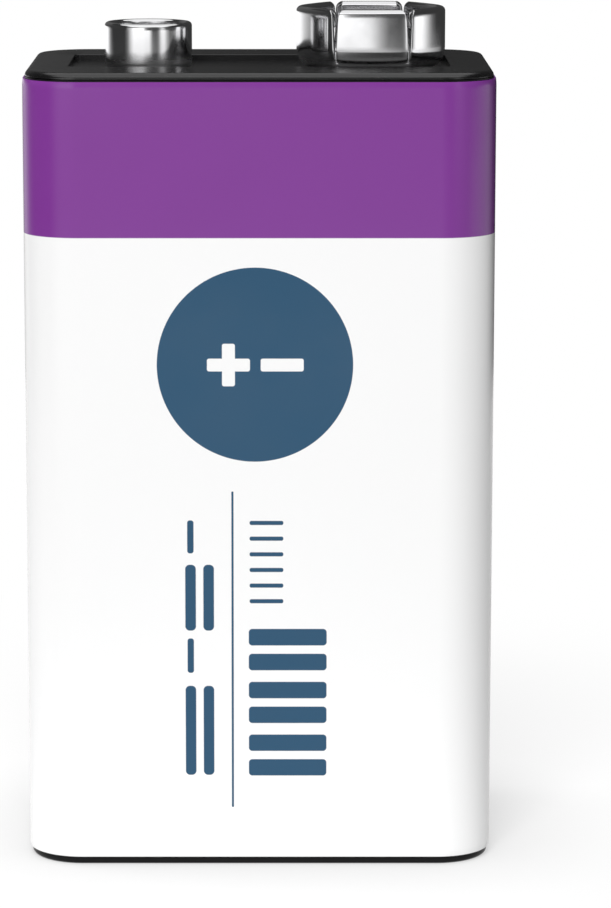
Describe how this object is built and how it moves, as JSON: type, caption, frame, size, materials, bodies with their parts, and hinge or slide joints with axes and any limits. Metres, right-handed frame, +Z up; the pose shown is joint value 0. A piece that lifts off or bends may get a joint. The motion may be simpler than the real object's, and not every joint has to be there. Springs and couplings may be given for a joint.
{
  "type": "nine volt block battery",
  "caption": "Upright block battery with rounded corners: printed film over a dark case, black cap, and a stud and a slit six-sided socket on top.",
  "frame": {"origin": "middle of the underside, at the height of the case's folded foot", "axes": "+Z up towards the terminals, -Y towards the printed front, -X towards the positive terminal"},
  "size_m": [0.0264, 0.0176, 0.0483],
  "materials": {
    "label_film": "satin printed film, white with a violet band, a blue disc and small marks",
    "case_lacquer": "black lacquered sheet steel",
    "liner_paper": "plain brown paper",
    "bottom_board": "matt black board",
    "fibre_card": "plain fibre card",
    "cell_can": "drawn nickel-plated steel",
    "nickel_strip": "plain nickel strip",
    "lead_strip": "plain brass strip",
    "cap_plastic": "glossy black moulding",
    "snap_plating": "bright nickel plating",
    "rivet_plating": "bright tin plating"
  },
  "bodies": {
    "root": {"label_sleeve": "label_film", "case_sleeve": "case_lacquer", "cell_liner": "liner_paper", "bottom_plate": "bottom_board", "bottom_insulator": "fibre_card", "top_insulator": "fibre_card", "cell_1": "cell_can", "cell_2": "cell_can", "cell_3": "cell_can", "cell_4": "cell_can", "cell_5": "cell_can", "cell_6": "cell_can", "cell_link_1": "nickel_strip", "cell_link_2": "nickel_strip", "cell_link_3": "nickel_strip", "cell_link_4": "nickel_strip", "cell_link_5": "nickel_strip", "positive_lead": "lead_strip", "negative_lead": "lead_strip", "top_cap": "cap_plastic", "positive_snap": "snap_plating", "negative_snap": "snap_plating", "positive_rivet": "rivet_plating", "negative_rivet": "rivet_plating"}
  },
  "joints": []
}
